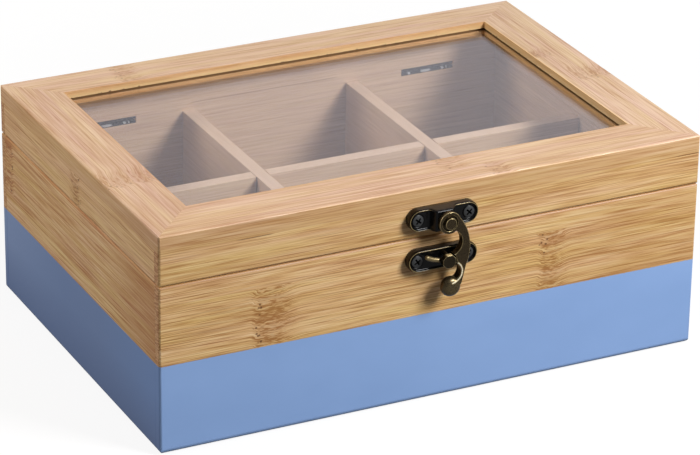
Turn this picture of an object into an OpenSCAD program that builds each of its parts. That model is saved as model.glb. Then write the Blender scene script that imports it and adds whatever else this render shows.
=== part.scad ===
// Tea bag box: a six-compartment bamboo base with a painted band, a hinged lid with a
// mitred window frame, and a swinging hook clasp at the front.
// Millimetres. +Z is up, the front is at -Y, and the origin is the middle of the underside.

/* [Box] */
// Outer width of the box, left to right
box_w = 230; // [190:5:300]
// Outer depth of the box, front to back
box_d = 160; // [130:5:220]
// Height of the base, from the underside to the seam with the lid
base_h = 69.5; // [55:0.5:90]
// Thickness of the boards of the base and of the lid
wall_t = 10; // [8:0.5:12]
// Thickness of the lip on the front and back boards that covers the ends of the side boards
corner_lip = 4; // [2:0.5:5]
// Rounding of the upright outer corners
corner_r = 1.2; // [0.5:0.1:3]
// Rounding of the outer edges round the underside
foot_r = 2.5; // [0.5:0.1:4]
// Rounding of the outer edges on both sides of the seam
seam_r = 1.2; // [0.3:0.1:2]
// Height of the painted band above the underside
paint_h = 37; // [15:1:50]
// Gap left round a panel that is glued into a rebate or a groove
glue_gap = 0.1; // [0.05:0.05:0.3]

/* [Floor] */
// Thickness of the floor panel
floor_t = 4; // [3:0.5:6]
// Depth of the rebate in the boards that holds the floor panel
floor_rebate = 5; // [3:0.5:6]

/* [Dividers] */
// Thickness of the divider boards
divider_t = 5.5; // [3:0.5:7]
// Width of the two middle cells, between the cross dividers
middle_cell_w = 68.6; // [60:0.2:90]
// How far the dividers stop below the seam
divider_drop = 1.4; // [0.5:0.1:8]
// Gap on each side of a halved joint between two dividers
lap_gap = 0.2; // [0.1:0.05:0.5]

/* [Lid] */
// Height of the lid's rails
rail_h = 13.5; // [12.5:0.5:24]
// Thickness of the mitred window frame
frame_t = 7; // [6:0.5:10]
// Width of the window frame's side members
side_w = 20.5; // [16:0.5:30]
// Width of the window frame's front member
front_w = 21.6; // [16:0.1:30]
// Width of the window frame's back member
back_w = 18.4; // [16:0.1:30]
// Rounding of the window frame's top outer edges
top_r = 0.8; // [0.3:0.1:1.5]
// Thickness of the window pane
pane_t = 2; // [1.5:0.1:3]
// Thickness of the frame's lip under the pane
under_lip = 1.6; // [1.2:0.1:2.2]
// Depth of the groove that holds the pane's edges
groove_d = 4; // [2.5:0.5:5]
// Height of the slit left above the pane in its groove
groove_slack = 0.5; // [0.2:0.1:0.6]
// Gap left all round between the pane's edges and the bottom of the groove
pane_gap = 0.5; // [0.3:0.1:1]

/* [Hinges] */
// Length of each hinge
hinge_len = 24; // [20:1:30]
// Distance from the side of the box to the middle of a hinge
hinge_inset = 42.5; // [35:0.5:60]
// Thickness of the hinge leaves
leaf_t = 1; // [0.8:0.1:1.2]
// Outer diameter of the hinge knuckles, also the depth of the notch cut for a closed hinge
knuckle_d = 3; // [2.8:0.1:3.6]
// Diameter of the hinge pin
hinge_pin_d = 1.4; // [1:0.1:1.6]
// How far the barrel stands off the back of the box
barrel_gap = 0.2; // [0.1:0.1:1]
// Distance between the two screws of a leaf
leaf_screw_pitch = 16; // [13:0.5:17]

/* [Clasp plates] */
// Distance of the clasp to the right of the middle of the box
clasp_x = 1; // [-20:1:20]
// Length of a clasp plate
plate_len = 29.5; // [28:0.5:34]
// Width of a clasp plate
plate_w = 9; // [8.5:0.5:10]
// How far a plate's ends stand off the wood
plate_t = 3.3; // [2.8:0.1:3.8]
// Thickness of the pressed sheet
sheet_t = 0.9; // [0.6:0.1:1.2]
// Width of the raised rim round a plate's ends
rim_w = 0.7; // [0.4:0.1:1]
// How deep a plate's ends are dished inside the rim
dish_d = 0.7; // [0.3:0.1:1]
// How far the raised bridge of the lid's plate stands off the wood
bridge_h = 6.4; // [6:0.1:7.5]
// Distance between the two screws of a plate
plate_screw_pitch = 21.6; // [21:0.2:23]

/* [Clasp hook] */
// Height of the hook's pivot above the seam
pivot_up = 7.8; // [7.4:0.1:8.4]
// Distance of the catch's head below the seam
catch_down = 8.1; // [7.6:0.1:9]
// Radius of the hook's eye
eye_r = 4.5; // [4:0.1:5]
// Thickness of the hook's eye
eye_t = 1.8; // [1.4:0.1:2.2]
// Radius of the rivet that the hook turns on
rivet_r = 1.5; // [1.2:0.1:1.8]
// Radius of the rivet's head
rivet_head_r = 2.3; // [2.1:0.1:2.6]
// Thickness of the rivet's head
rivet_head_t = 0.8; // [0.5:0.1:1.2]
// Running gap between the hook and the rivet, and between the hook and the catch
run_gap = 0.15; // [0.1:0.05:0.2]
// Radius of the hook's curved finger
finger_r = 0.95; // [0.7:0.05:1.1]
// Radius of the round finger pull at the end of the hook
pull_r = 4.1; // [3.5:0.1:5]
// Width across the flats of the catch's head
catch_head_w = 5.4; // [5:0.1:6]
// Thickness of the catch's head
catch_head_t = 2.3; // [1.6:0.1:2.6]
// Radius of the catch's neck
neck_r = 0.9; // [0.7:0.1:1]

/* [Screws] */
// Diameter of the heads of the clasp's screws
screw_head_d = 4.6; // [4:0.1:5.2]
// Diameter of the clasp screws' shanks
screw_d = 2.2; // [1.6:0.1:2.6]
// Length of the clasp screws in the wood
screw_bite = 6; // [4:0.5:7]
// Diameter of the heads of the hinge screws
leaf_screw_head_d = 3.6; // [3:0.1:4.2]
// Diameter of the hinge screws' shanks
leaf_screw_d = 1.8; // [1.4:0.1:2]
// Length of the hinge screws in the wood
leaf_screw_bite = 8; // [5:0.5:9]
// Radial gap between a screw and its hole
screw_gap = 0.05; // [0.02:0.01:0.1]
// Depth of the cross cut in a screw head
cross_d = 0.5; // [0.3:0.1:0.6]
// Width of the cross cut in a screw head
cross_w = 0.6; // [0.4:0.1:0.8]

/* [Hidden] */
$fn = 64;

bamboo = [0.80, 0.65, 0.43];
bamboo_light = [0.87, 0.73, 0.55];
bamboo_inside = [0.82, 0.70, 0.53];
paint = [0.48, 0.60, 0.80];
glass = [0.80, 0.82, 0.82, 0.35];
steel = [0.62, 0.64, 0.66];
bronze = [0.27, 0.22, 0.15];
black_steel = [0.10, 0.10, 0.11];

eps = 0.01;        // makes a cut run past the face that it opens
far = 400;         // longer than any board
frame_z = base_h + rail_h;
in_w = box_w - 2 * wall_t;
in_d = box_d - 2 * wall_t;
rebate_t = wall_t - corner_lip;
front_y = -box_d / 2;
back_y = box_d / 2;

// Dividers
divider_z = floor_t;
divider_h = base_h - divider_drop - floor_t;
cross_x = middle_cell_w / 2 + divider_t / 2;
slot_w = divider_t + 2 * lap_gap;
slot_h = divider_h / 2 + lap_gap;

// Window
opening_w = box_w - 2 * side_w;
opening_d = box_d - front_w - back_w;
opening_y = (front_w - back_w) / 2;
outer_corners = [for (c = [[-1, -1], [1, -1], [1, 1], [-1, 1]]) [c[0] * box_w / 2, c[1] * box_d / 2]];
inner_corners = [for (c = [[-1, -1], [1, -1], [1, 1], [-1, 1]])
    [c[0] * opening_w / 2, opening_y + c[1] * opening_d / 2]];
pane_z = frame_z + under_lip;
pane_edge = groove_d - pane_gap;

// Hinges
knuckle_r = knuckle_d / 2;
hinge_x = box_w / 2 - hinge_inset;
notch_h = knuckle_d;
hinge_z = base_h - knuckle_r;
hinge_y = back_y + barrel_gap + knuckle_r;
knuckle_gap = 0.2;
knuckle_len = (hinge_len - 2 * knuckle_gap) / 3;
pin_play = 0.02;   // radial gap in the base leaf's knuckles, where the pin is tight
pin_run = 0.05;    // radial gap in the lid leaf's knuckle, which turns
pin_end = 0.3;     // how far the pin stands out of the barrel
leaf_screw_y = back_y - wall_t / 2;

// Clasp. Heights off the wood are measured from the front face, towards the viewer.
pivot_z = base_h + pivot_up;
catch_z = base_h - catch_down;
drop = pivot_z - catch_z;
lid_plate_z = pivot_z + 0.6;
base_plate_z = catch_z - 0.5;
bridge_left = -5.4;
bridge_right = 1.2;
ramp_left = 0.8;
ramp_right = 2.8;
dish_floor = plate_t - dish_d;
screw_head_t = 0.9;
eye_back = bridge_h + run_gap;
eye_front = eye_back + eye_t;
eye_recess_r = 3.2;
eye_recess_d = 0.8;
arm_back = 5;
arm_front = eye_front - 0.1;
tail_back = 3.9;
bridge_clear_r = 7.4;   // round the pivot, where the arm is thinner to swing over the bridge
catch_back = bridge_h;
upset_t = 0.6;     // thickness of the hidden upset ends of the rivet and the catch
upset_w = 0.4;     // how far they stand out round the shank
upset_gap = 0.05;  // between the rivet's upset end and the slope of the bridge
half_facet = 22.5;
catch_head_r = catch_head_w / 2 / cos(half_facet);
finger_out = catch_back - run_gap - finger_r;
neck_rise = catch_head_w / 2 - neck_r - 0.1;
finger_swing = drop - neck_rise + neck_r + run_gap + finger_r;
finger_tip_r = finger_r - 0.02;   // a hair less than the finger, so that the two share no circle
finger_tip_deg = 29.5;
finger_root_deg = -16;

module rounded_plan(w, d, r) {
    square([w - 2 * r, d], center = true);
    square([w, d - 2 * r], center = true);
    for (x = [-1, 1], y = [-1, 1])
        translate([x * (w / 2 - r), y * (d / 2 - r)]) circle(r);
}

// An upright section, with its bottom corners rounded by one radius and its top ones by another
module section(w, h, r_low, r_high) {
    translate([-w / 2, r_low]) square([w, h - r_low - r_high]);
    translate([-w / 2 + r_low, 0]) square([w - 2 * r_low, h / 2]);
    translate([-w / 2 + r_high, h / 2]) square([w - 2 * r_high, h / 2]);
    for (x = [-1, 1]) {
        translate([x * (w / 2 - r_low), r_low]) circle(r_low);
        translate([x * (w / 2 - r_high), h - r_high]) circle(r_high);
    }
}

// A block of the box's outline with all its outer edges rounded
module block(z, h, r_low, r_high) {
    translate([0, 0, z]) intersection() {
        linear_extrude(h) rounded_plan(box_w, box_d, corner_r);
        rotate([90, 0, 0]) translate([0, 0, -box_d / 2]) linear_extrude(box_d)
            section(box_w, h, r_low, r_high);
        rotate([90, 0, 90]) translate([0, 0, -box_w / 2]) linear_extrude(box_w)
            section(box_d, h, r_low, r_high);
    }
}

// A front or back board, outer face towards side * Y, with its two end rebates
module long_board_cut(side, z, h) {
    difference() {
        translate([0, side * (box_d - wall_t) / 2, z + h / 2]) cube([box_w, wall_t, h], center = true);
        for (x = [-1, 1])
            translate([x * (box_w - wall_t) / 2, side * (in_d + rebate_t) / 2, z + h / 2])
                cube([wall_t + 2 * eps, rebate_t, h + 2 * eps], center = true);
    }
}

// A left or right board, which ends in the rebates of the long boards
module side_board_cut(side, z, h) {
    translate([side * (box_w - wall_t) / 2, 0, z + h / 2])
        cube([wall_t, box_d - 2 * corner_lip, h], center = true);
}

module floor_rebate_cut() {
    translate([0, 0, floor_t / 2]) cube([in_w + 2 * floor_rebate, in_d + 2 * floor_rebate, floor_t + 2 * eps],
        center = true);
}

// The base's boards are painted below the band's edge and bare above it
module painted() {
    union() {
        color(paint) intersection() {
            children();
            translate([0, 0, paint_h / 2]) cube([far, far, paint_h], center = true);
        }
        color(bamboo) difference() {
            children();
            translate([0, 0, paint_h / 2]) cube([far, far, paint_h], center = true);
        }
    }
}

module hinge_notch(side) {
    translate([side * hinge_x, back_y - wall_t / 2, base_h - notch_h / 2 + eps])
        cube([hinge_len + 2 * lap_gap, wall_t + 2 * eps, notch_h + 2 * eps], center = true);
}

module base_front_board() {
    painted() difference() {
        intersection() {
            block(0, base_h, foot_r, seam_r);
            long_board_cut(-1, 0, base_h);
        }
        floor_rebate_cut();
        plate_screw_holes(base_plate_z);
    }
}

module base_back_board() {
    painted() difference() {
        intersection() {
            block(0, base_h, foot_r, seam_r);
            long_board_cut(1, 0, base_h);
        }
        floor_rebate_cut();
        for (side = [-1, 1]) {
            hinge_notch(side);
            leaf_screw_holes(side, base_h - notch_h, -1);
        }
    }
}

module base_side_board(side) {
    painted() difference() {
        intersection() {
            block(0, base_h, foot_r, seam_r);
            side_board_cut(side, 0, base_h);
        }
        floor_rebate_cut();
    }
}

module floor_panel() {
    color(bamboo_inside) translate([0, 0, floor_t / 2])
        cube([in_w + 2 * floor_rebate - 2 * glue_gap, in_d + 2 * floor_rebate - 2 * glue_gap, floor_t],
            center = true);
}

// The long divider is slotted from above, and the cross dividers, which drop over it, from below
module long_divider() {
    color(bamboo_inside) difference() {
        translate([0, 0, divider_z + divider_h / 2])
            cube([in_w - 2 * glue_gap, divider_t, divider_h], center = true);
        for (x = [-1, 1])
            translate([x * cross_x, 0, divider_z + divider_h - slot_h / 2 + eps])
                cube([slot_w, divider_t + 2 * eps, slot_h + 2 * eps], center = true);
    }
}

module cross_divider(side) {
    color(bamboo_inside) difference() {
        translate([side * cross_x, 0, divider_z + divider_h / 2])
            cube([divider_t, in_d - 2 * glue_gap, divider_h], center = true);
        translate([side * cross_x, 0, divider_z + slot_h / 2 - eps])
            cube([divider_t + 2 * eps, slot_w, slot_h + 2 * eps], center = true);
    }
}

module lid_block() {
    block(base_h, rail_h + frame_t, seam_r, top_r);
}

module lid_front_rail() {
    color(bamboo) difference() {
        intersection() {
            lid_block();
            long_board_cut(-1, base_h, rail_h);
        }
        plate_screw_holes(lid_plate_z);
    }
}

module lid_back_rail() {
    color(bamboo) difference() {
        intersection() {
            lid_block();
            long_board_cut(1, base_h, rail_h);
        }
        for (side = [-1, 1]) leaf_screw_holes(side, base_h, 1);
    }
}

module lid_side_rail(side) {
    color(bamboo) intersection() {
        lid_block();
        side_board_cut(side, base_h, rail_h);
    }
}

module pane_groove() {
    groove_h = pane_t + groove_slack;
    translate([0, opening_y, pane_z + groove_h / 2])
        cube([opening_w + 2 * groove_d, opening_d + 2 * groove_d, groove_h], center = true);
}

// One mitred member, from corner k of the frame to the next one counter-clockwise, front first
module frame_member(k) {
    next = (k + 1) % 4;
    color(bamboo_light) difference() {
        intersection() {
            lid_block();
            translate([0, 0, frame_z]) linear_extrude(frame_t)
                polygon([outer_corners[k], outer_corners[next], inner_corners[next], inner_corners[k]]);
        }
        pane_groove();
    }
}

module window_pane() {
    color(glass) translate([0, opening_y, pane_z + pane_t / 2])
        cube([opening_w + 2 * pane_edge, opening_d + 2 * pane_edge, pane_t], center = true);
}

// Hinges. The barrel has three knuckles: the outer two on the base leaf, the middle one on the lid leaf.
module knuckle(x, bore_r) {
    translate([x - knuckle_len / 2, hinge_y, hinge_z]) rotate([0, 90, 0]) difference() {
        cylinder(r = knuckle_r, h = knuckle_len);
        translate([0, 0, -eps]) cylinder(r = bore_r, h = knuckle_len + 2 * eps);
    }
}

module knuckle_root(x, z, bore_r) {
    difference() {
        translate([x - knuckle_len / 2, back_y - 1, z]) cube([knuckle_len, hinge_y - back_y + 1, leaf_t]);
        translate([x - far / 2, hinge_y, hinge_z]) rotate([0, 90, 0]) cylinder(r = bore_r, h = far);
    }
}

module leaf_plate(z, face) {
    difference() {
        translate([-hinge_len / 2, back_y - wall_t, z]) cube([hinge_len, wall_t, leaf_t]);
        for (x = [-1, 1])
            translate([x * leaf_screw_pitch / 2, leaf_screw_y, face > 0 ? z + leaf_t : z])
                rotate([face > 0 ? 180 : 0, 0, 0]) translate([0, 0, -eps]) {
                    cylinder(r1 = leaf_screw_head_d / 2 + screw_gap, r2 = leaf_screw_d / 2 + screw_gap,
                        h = leaf_t + eps);
                    cylinder(r = leaf_screw_d / 2 + screw_gap, h = leaf_t + 3 * eps);
                }
    }
}

module hinge_base_leaf(side) {
    bore = hinge_pin_d / 2 + pin_play;
    outer = knuckle_len + knuckle_gap;
    color(steel) translate([side * hinge_x, 0, 0]) union() {
        leaf_plate(base_h - notch_h, 1);
        for (x = [-outer, outer]) {
            knuckle(x, bore);
            knuckle_root(x, base_h - notch_h, bore);
        }
    }
}

module hinge_lid_leaf(side) {
    bore = hinge_pin_d / 2 + pin_run;
    color(steel) translate([side * hinge_x, 0, 0]) union() {
        leaf_plate(base_h - leaf_t, -1);
        knuckle(0, bore);
        knuckle_root(0, base_h - leaf_t, bore);
    }
}

module hinge_pin(side) {
    color(steel) translate([side * hinge_x - hinge_len / 2 - pin_end, hinge_y, hinge_z])
        rotate([0, 90, 0]) cylinder(r = hinge_pin_d / 2, h = hinge_len + 2 * pin_end);
}

// Screws stand with the head's top at z = 0 and point down
module cross_cut(head_d) {
    for (turn = [0, 90]) rotate([0, 0, turn + 20])
        translate([0, 0, -cross_d / 2 + eps]) cube([head_d * 0.6, cross_w, cross_d + 2 * eps], center = true);
}

module flat_screw() {
    difference() {
        union() {
            translate([0, 0, -leaf_t])
                cylinder(r1 = leaf_screw_d / 2, r2 = leaf_screw_head_d / 2, h = leaf_t);
            translate([0, 0, -leaf_t - leaf_screw_bite])
                cylinder(r = leaf_screw_d / 2, h = leaf_screw_bite + eps);
        }
        cross_cut(leaf_screw_head_d);
    }
}

module leaf_screws(z, face) {
    for (side = [-1, 1], x = [-1, 1])
        translate([side * hinge_x + x * leaf_screw_pitch / 2, leaf_screw_y, z])
            rotate([face > 0 ? 0 : 180, 0, 0]) flat_screw();
}

// Holes for a leaf's screws, upwards or downwards from the height z
module leaf_screw_holes(side, z, way) {
    hole_h = leaf_screw_bite + glue_gap;
    for (x = [-1, 1])
        translate([side * hinge_x + x * leaf_screw_pitch / 2, leaf_screw_y, way > 0 ? z - eps : z - hole_h])
            cylinder(r = leaf_screw_d / 2 + screw_gap, h = hole_h + eps);
}

module base_leaf_screws() {
    color(steel) leaf_screws(base_h - notch_h + leaf_t, 1);
}

module lid_leaf_screws() {
    color(steel) leaf_screws(base_h - leaf_t, -1);
}

// Clasp. Its pieces are drawn with X to the right, Y up and Z out of the wood, from the front face.
module clasp_frame(z = pivot_z) {
    translate([clasp_x, front_y, z]) rotate([90, 0, 0]) children();
}

module stadium(len, w) {
    square([len - w, w], center = true);
    for (x = [-1, 1]) translate([x * (len - w) / 2, 0]) circle(w / 2);
}

// The bridge seen from above: its foot, a steep ramp, the flat that carries the eye and a gentle ramp
module bridge_side(inset) {
    foot_left = bridge_left + inset;
    flat_left = foot_left + ramp_left;
    flat_right = bridge_right + ramp_left - inset;
    foot_right = flat_right + ramp_right;
    polygon([
        [foot_left, 0], [foot_left, plate_t - inset], [flat_left, bridge_h - inset],
        [flat_right, bridge_h - inset], [foot_right, plate_t - inset], [foot_right, 0]
    ]);
}

module bridge(w, inset) {
    translate([0, w / 2, 0]) rotate([90, 0, 0]) linear_extrude(w) bridge_side(inset);
}

module plate_shell(bridged) {
    difference() {
        union() {
            linear_extrude(plate_t) stadium(plate_len, plate_w);
            if (bridged) bridge(plate_w, 0);
        }
        translate([0, 0, -eps]) linear_extrude(dish_floor - sheet_t + eps)
            stadium(plate_len - 2 * sheet_t, plate_w - 2 * sheet_t);
        if (bridged) translate([0, 0, -eps]) bridge(plate_w - 2 * sheet_t, sheet_t);
        difference() {
            translate([0, 0, dish_floor]) linear_extrude(far)
                stadium(plate_len - 2 * rim_w, plate_w - 2 * rim_w);
            if (bridged) translate([0, 0, -eps]) bridge(plate_w + 2 * eps, 0);
        }
        for (x = [-1, 1])
            translate([x * plate_screw_pitch / 2, 0, 0]) cylinder(r = screw_d / 2 + screw_gap, h = plate_t);
    }
}

module clasp_lid_plate() {
    color(black_steel) difference() {
        clasp_frame(lid_plate_z) plate_shell(true);
        clasp_frame() cylinder(r = rivet_r + pin_play, h = far);
    }
}

module clasp_base_plate() {
    color(black_steel) difference() {
        clasp_frame(base_plate_z) plate_shell(false);
        clasp_frame(catch_z + neck_rise) cylinder(r = neck_r + pin_play, h = far);
    }
}

module round_screw() {
    difference() {
        union() {
            intersection() {
                translate([0, 0, -screw_head_d]) sphere(screw_head_d * 1.12);
                translate([0, 0, 0]) cylinder(r = screw_head_d / 2, h = screw_head_t);
            }
            translate([0, 0, -dish_floor - screw_bite])
                cylinder(r = screw_d / 2, h = dish_floor + screw_bite + eps);
        }
        translate([0, 0, screw_head_t - 0.25]) cross_cut(screw_head_d);
    }
}

module plate_screws(z) {
    clasp_frame(z) for (x = [-1, 1]) translate([x * plate_screw_pitch / 2, 0, dish_floor]) round_screw();
}

module plate_screw_holes(z) {
    clasp_frame(z) for (x = [-1, 1])
        translate([x * plate_screw_pitch / 2, 0, -screw_bite - glue_gap])
            cylinder(r = screw_d / 2 + screw_gap, h = screw_bite + glue_gap + 1);
}

module clasp_lid_screws() {
    color(black_steel) plate_screws(lid_plate_z);
}

module clasp_base_screws() {
    color(black_steel) plate_screws(base_plate_z);
}

module clasp_rivet() {
    under_sheet = bridge_h - sheet_t;
    head_back = eye_front - eye_recess_d + run_gap / 2;
    color(bronze) clasp_frame() {
        intersection() {
            translate([0, 0, under_sheet - upset_t]) cylinder(r = rivet_r + upset_w, h = upset_t);
            bridge(plate_w, sheet_t + upset_gap);
        }
        translate([0, 0, under_sheet - upset_gap - eps])
            cylinder(r = rivet_r, h = head_back - under_sheet + upset_gap + 2 * eps);
        translate([0, 0, head_back]) cylinder(r = rivet_head_r, h = rivet_head_t + eye_recess_d);
    }
}

// The catch: a faceted head on a neck that stands above the head's middle, so that the finger passes under it
module clasp_catch() {
    under_sheet = dish_floor - sheet_t;
    color(bronze) {
        clasp_frame(catch_z + neck_rise) {
            translate([0, 0, under_sheet - upset_t]) cylinder(r = neck_r + upset_w, h = upset_t);
            translate([0, 0, under_sheet - eps]) cylinder(r = neck_r, h = catch_back - under_sheet + 2 * eps);
        }
        clasp_frame(catch_z) translate([0, 0, catch_back]) rotate([0, 0, half_facet])
            cylinder(r = catch_head_r, h = catch_head_t, $fn = 8);
    }
}

// Outline of the hook's bow and tail, from the pivot. The bow lies between a large and a small circle.
bow_out = [-10.7, -11];
bow_out_r = 19.55;
bow_in = [0.1, -8.5];
bow_in_r = 5.4;
notch_in = [1.3, -20.9];
notch_in_r = 4.1;
pull = [1.75, -27.4];
bow_side = [[0, -3], [0, 0], [3, 3.4], [12, 2], [12, -18.5], [4.6, -18.5], [2.2, -14], [1, -8]];
tail_side = [[3.6, -17.2], [7.63, -17.2], [6.85, -20.6], [5.6, -26], [4, -28], [1.5, -25]];
head_gap = 0.35;   // between the catch's head and the bow beside it

module bow() {
    difference() {
        intersection() {
            translate(bow_out) circle(bow_out_r, $fn = 160);
            polygon(bow_side);
        }
        translate(bow_in) circle(bow_in_r);
        translate([0, -drop]) circle(catch_head_r + head_gap);
    }
}

module tail() {
    difference() {
        polygon(tail_side);
        translate(notch_in) circle(notch_in_r);
    }
}

module clasp_hook() {
    color(bronze) clasp_frame() difference() {
        union() {
            translate([0, 0, eye_back]) cylinder(r = eye_r, h = eye_t);
            translate([0, 0, eye_back]) linear_extrude(arm_front - eye_back) bow();
            translate([0, 0, arm_back]) linear_extrude(arm_front - arm_back) difference() {
                bow();
                circle(bridge_clear_r);
            }
            translate([0, 0, tail_back]) linear_extrude(arm_front - tail_back) tail();
            translate([0, 0, finger_out]) rotate([0, 0, 270 - finger_tip_deg]) {
                rotate_extrude(angle = finger_tip_deg - finger_root_deg)
                    translate([finger_swing, 0]) circle(finger_r);
                translate([finger_swing, 0, 0]) sphere(finger_tip_r);
            }
            translate([pull[0], pull[1], (tail_back + arm_front) / 2]) pull_knob();
        }
        translate([0, 0, -eps]) cylinder(r = rivet_r + pin_run, h = far);
        translate([0, 0, eye_front - eye_recess_d]) cylinder(r = eye_recess_r, h = far);
    }
}

// The finger pull: a round pad with a full round edge
module pull_knob() {
    edge_r = (arm_front - tail_back) / 2 + 0.3;
    rotate_extrude() intersection() {
        union() {
            translate([pull_r - edge_r, 0]) circle(edge_r);
            translate([0, -edge_r]) square([pull_r - edge_r, 2 * edge_r]);
        }
        translate([0, -far / 2]) square([far, far]);
    }
}

base_front_board();
base_back_board();
base_side_board(-1);  // base_left_board
base_side_board(1);  // base_right_board
floor_panel();
long_divider();
cross_divider(-1);  // cross_divider_left
cross_divider(1);  // cross_divider_right
lid_front_rail();
lid_back_rail();
lid_side_rail(-1);  // lid_left_rail
lid_side_rail(1);  // lid_right_rail
frame_member(0);  // frame_front
frame_member(2);  // frame_back
frame_member(3);  // frame_left
frame_member(1);  // frame_right
window_pane();
hinge_base_leaf(-1);  // hinge_left_base_leaf
hinge_lid_leaf(-1);  // hinge_left_lid_leaf
hinge_pin(-1);  // hinge_left_pin
hinge_base_leaf(1);  // hinge_right_base_leaf
hinge_lid_leaf(1);  // hinge_right_lid_leaf
hinge_pin(1);  // hinge_right_pin
base_leaf_screws();
lid_leaf_screws();
clasp_lid_plate();
clasp_lid_screws();
clasp_rivet();
clasp_hook();
clasp_base_plate();
clasp_base_screws();
clasp_catch();
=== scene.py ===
import math

import bmesh
import bpy
import numpy as np
from mathutils import Euler, Matrix, Vector


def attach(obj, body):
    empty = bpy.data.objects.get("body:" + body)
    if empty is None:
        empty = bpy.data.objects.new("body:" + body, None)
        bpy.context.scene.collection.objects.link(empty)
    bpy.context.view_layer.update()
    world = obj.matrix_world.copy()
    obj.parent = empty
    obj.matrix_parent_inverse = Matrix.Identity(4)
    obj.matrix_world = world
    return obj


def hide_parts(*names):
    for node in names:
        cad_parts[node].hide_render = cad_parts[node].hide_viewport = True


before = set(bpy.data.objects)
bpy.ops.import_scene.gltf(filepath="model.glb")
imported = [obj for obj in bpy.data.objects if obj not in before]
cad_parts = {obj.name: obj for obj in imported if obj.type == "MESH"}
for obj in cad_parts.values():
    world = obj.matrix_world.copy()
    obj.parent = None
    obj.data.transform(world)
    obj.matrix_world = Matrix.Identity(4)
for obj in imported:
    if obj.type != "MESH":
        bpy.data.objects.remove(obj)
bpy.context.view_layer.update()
mm = 0.001
frontFace = -80.0   # the plane of the box's front, in millimetres
scene = bpy.context.scene
scene.view_settings.view_transform = "Standard"
print("frame loaded:", len(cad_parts), "nodes")


def feed(socket, value):
    # a value is a number or a colour, or the socket that it comes from
    if isinstance(value, bpy.types.NodeSocket):
        socket.id_data.links.new(value, socket)
    else:
        socket.default_value = value


def addNode(place, kind, inputs=None, **settings):
    # the place is a node tree, or anything in it
    node = place.id_data.nodes.new(kind)
    for name, value in settings.items():
        setattr(node, name, value)
    for key, value in (inputs or {}).items():
        feed(node.inputs[key], value)
    return node


def firstSocket(values):
    return next(value for value in values if isinstance(value, bpy.types.NodeSocket))


def calc(operation, *values, clamp=False):
    return addNode(firstSocket(values), "ShaderNodeMath", dict(enumerate(values)), operation=operation,
        use_clamp=clamp).outputs[0]


def times(*values):
    product = values[0]
    for value in values[1:]:
        product = calc("MULTIPLY", product, value)
    return product


def clamped(first, second):
    return calc("MULTIPLY", first, second, clamp=True)


def minus(first, second):
    return calc("SUBTRACT", first, second)


def maximum(first, second):
    return calc("MAXIMUM", first, second)


def away(value, middle=0.0):
    return calc("ABSOLUTE", minus(value, middle) if middle else value)


def swing(noise, reach, around):
    # a noise from 0 to 1 moves a value to both sides
    return calc("MULTIPLY_ADD", minus(noise, 0.5), reach, around)


def ramp(value, low, high, start=0.0, end=1.0, kind="LINEAR"):
    limits = {"Value": value, "From Min": low, "From Max": high, "To Min": start, "To Max": end}
    return addNode(value, "ShaderNodeMapRange", limits, interpolation_type=kind).outputs[0]


def combine(x=0.0, y=0.0, z=0.0):
    return addNode(firstSocket((x, y, z)), "ShaderNodeCombineXYZ", {0: x, 1: y, 2: z}).outputs[0]


def separate(vector):
    return addNode(vector, "ShaderNodeSeparateXYZ", {0: vector}).outputs


def vectorCalc(operation, *values):
    node = addNode(values[0], "ShaderNodeVectorMath", dict(enumerate(values)), operation=operation)
    return node.outputs["Value" if operation in ("LENGTH", "DISTANCE") else "Vector"]


def attribute(tree, name):
    return addNode(tree, "ShaderNodeAttribute", attribute_name=name).outputs["Fac"]


def lightPath(tree):
    return tree.nodes.new("ShaderNodeLightPath").outputs


def mixColour(factor, first, second, blend="MIX"):
    return addNode(factor, "ShaderNodeMix", {0: factor, 6: first, 7: second}, data_type="RGBA",
        blend_type=blend).outputs[2]


def noiseAt(point, scales, shift=None, detail=1.0, rough=0.5):
    point = vectorCalc("MULTIPLY", point, scales)
    if shift is not None:
        point = vectorCalc("ADD", point, shift)
    inputs = {"Vector": point, "Scale": 1.0, "Detail": detail, "Roughness": rough}
    return addNode(point, "ShaderNodeTexNoise", inputs).outputs[0]


def objectPlace(tree):
    # the point in the object's own millimetres, its three parts, and the way that the face looks
    place = tree.nodes.new("ShaderNodeTexCoord").outputs
    point = addNode(tree, "ShaderNodeVectorMath", {0: place["Object"], "Scale": 1 / mm},
        operation="SCALE").outputs[0]
    return point, separate(point), separate(place["Normal"])


def addSockets(tree, inputs, outputs):
    # the kind of an input follows from its value, or is given in its place
    kinds = {float: "Float", int: "Int", 3: "Vector", 4: "Color"}
    for label, value in inputs.items():
        named = isinstance(value, str)
        kind = value if named else kinds.get(type(value)) or kinds[len(value)]
        socket = tree.interface.new_socket(label, in_out="INPUT", socket_type="NodeSocket" + kind)
        if not named:
            socket.default_value = value
    for label, kind in outputs:
        tree.interface.new_socket(label, in_out="OUTPUT", socket_type="NodeSocket" + kind)
    return tree.nodes.new("NodeGroupInput").outputs, tree.nodes.new("NodeGroupOutput").inputs


def newGroup(name, inputs, outputs):
    tree = bpy.data.node_groups.new(name, "ShaderNodeTree")
    return tree, *addSockets(tree, inputs, outputs)


def useGroup(tree, group, inputs):
    return addNode(tree, "ShaderNodeGroup", inputs, node_tree=group).outputs


def newMaterial(name):
    material = bpy.data.materials.new(name)
    material.use_nodes = True
    tree = material.node_tree
    tree.nodes.clear()
    shader = tree.nodes.new("ShaderNodeBsdfPrincipled")
    output = tree.nodes.new("ShaderNodeOutputMaterial")
    tree.links.new(shader.outputs[0], output.inputs["Surface"])
    return material, tree, shader, output


def finishShader(shader, surface, height, strength, distance):
    bump = addNode(shader, "ShaderNodeBump", {"Height": height, "Strength": strength, "Distance": distance * mm})
    for label, value in dict(surface, Normal=bump.outputs[0]).items():
        feed(shader.inputs[label], value)


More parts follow.
